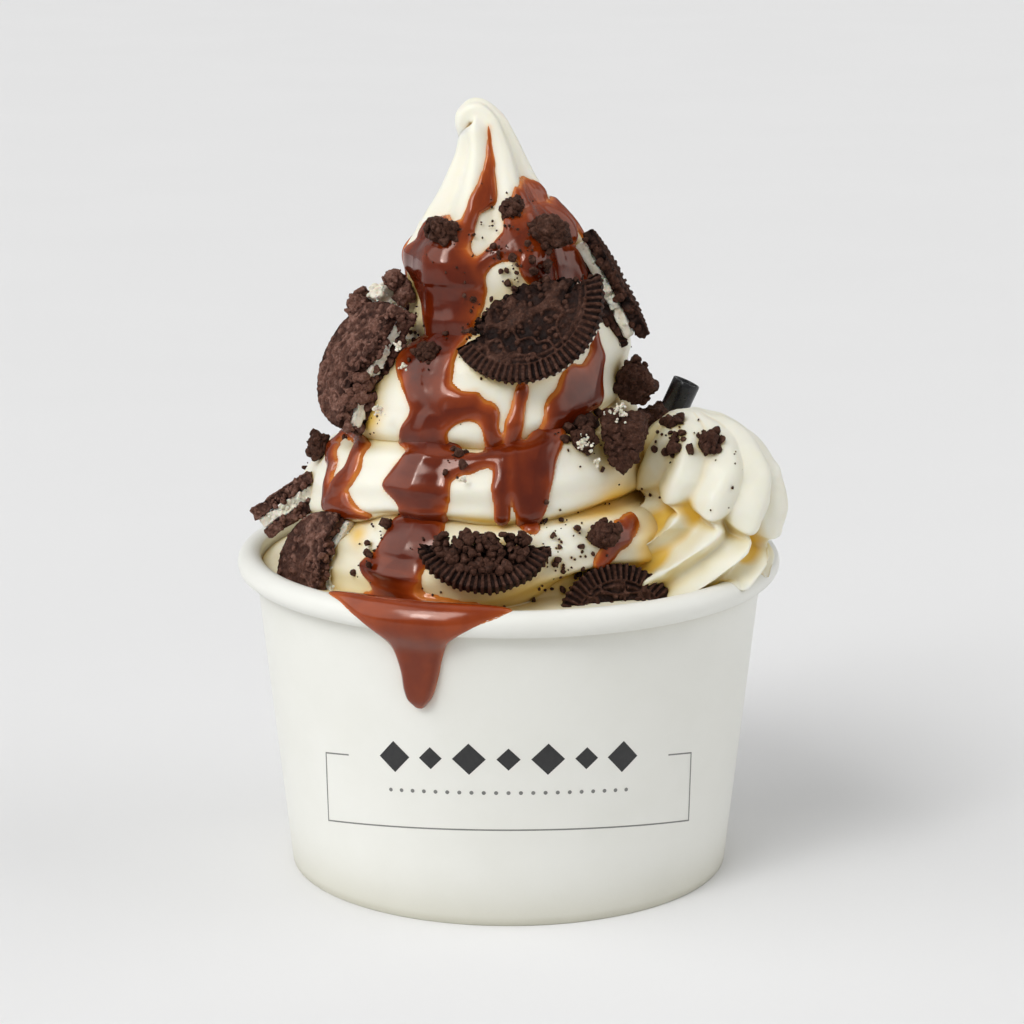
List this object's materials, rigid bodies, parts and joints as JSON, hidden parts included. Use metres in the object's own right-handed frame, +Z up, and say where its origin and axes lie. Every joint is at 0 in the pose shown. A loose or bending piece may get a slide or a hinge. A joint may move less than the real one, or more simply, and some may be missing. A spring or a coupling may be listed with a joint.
{
  "type": "cookies and cream sundae",
  "caption": "Tall soft serve swirl in a rolled-rim paper tub, with chocolate sauce, broken sandwich cookies, a whipped cream rosette and a short straw.",
  "frame": {"origin": "on the tub's axis, in the plane of its foot ring", "axes": "+Z up along the tub's axis, -Y towards the front with the sauce drip, +X towards the whipped cream"},
  "size_m": [0.1151, 0.1154, 0.1633],
  "materials": {
    "paper": "smooth coated white board",
    "soft_serve": "soft satin cream white",
    "whipped_cream": "soft satin white",
    "chocolate_sauce": "glossy",
    "cocoa_wafer": "matt, grainy",
    "cookie_filling": "matt",
    "straw_plastic": "semi-gloss black"
  },
  "bodies": {
    "root": {"chunk_back_crown": "cocoa_wafer", "chunk_back_foot": "cocoa_wafer", "chunk_back_left": "cocoa_wafer", "chunk_back_right": "cocoa_wafer", "chunk_by_cream": "cocoa_wafer", "chunk_crown_front": "cocoa_wafer", "chunk_crown_left": "cocoa_wafer", "chunk_crown_right": "cocoa_wafer", "chunk_left_stream": "cocoa_wafer", "chunk_low_right": "cocoa_wafer", "chunk_mid_left": "cocoa_wafer", "chunk_on_cream": "cocoa_wafer", "chunk_right_big": "cocoa_wafer", "chunk_right_high": "cocoa_wafer", "chunk_right_side": "cocoa_wafer", "cookie_back_high_filling": "cookie_filling", "cookie_back_high_wafer_a": "cocoa_wafer", "cookie_back_high_wafer_b": "cocoa_wafer", "cookie_back_low_filling": "cookie_filling", "cookie_back_low_wafer_a": "cocoa_wafer", "cookie_back_low_wafer_b": "cocoa_wafer", "cookie_front_high_filling": "cookie_filling", "cookie_front_high_wafer_a": "cocoa_wafer", "cookie_front_low": "cocoa_wafer", "cookie_left_big_filling": "cookie_filling", "cookie_left_big_wafer_a": "cocoa_wafer", "cookie_left_big_wafer_b": "cocoa_wafer", "cookie_left_high_filling": "cookie_filling", "cookie_left_high_wafer_a": "cocoa_wafer", "cookie_left_high_wafer_b": "cocoa_wafer", "cookie_left_low_filling": "cookie_filling", "cookie_left_low_wafer_a": "cocoa_wafer", "cookie_left_low_wafer_b": "cocoa_wafer", "cookie_right_high_filling": "cookie_filling", "cookie_right_high_wafer_a": "cocoa_wafer", "cookie_right_high_wafer_b": "cocoa_wafer", "cookie_right_low": "cocoa_wafer", "cookie_rim_filling": "cookie_filling", "cookie_rim_wafer_a": "cocoa_wafer", "cookie_rim_wafer_b": "cocoa_wafer", "cup": "paper", "ice_cream": "soft_serve", "sauce_overflow": "chocolate_sauce", "straw": "straw_plastic", "whipped_cream": "whipped_cream"}
  },
  "joints": []
}
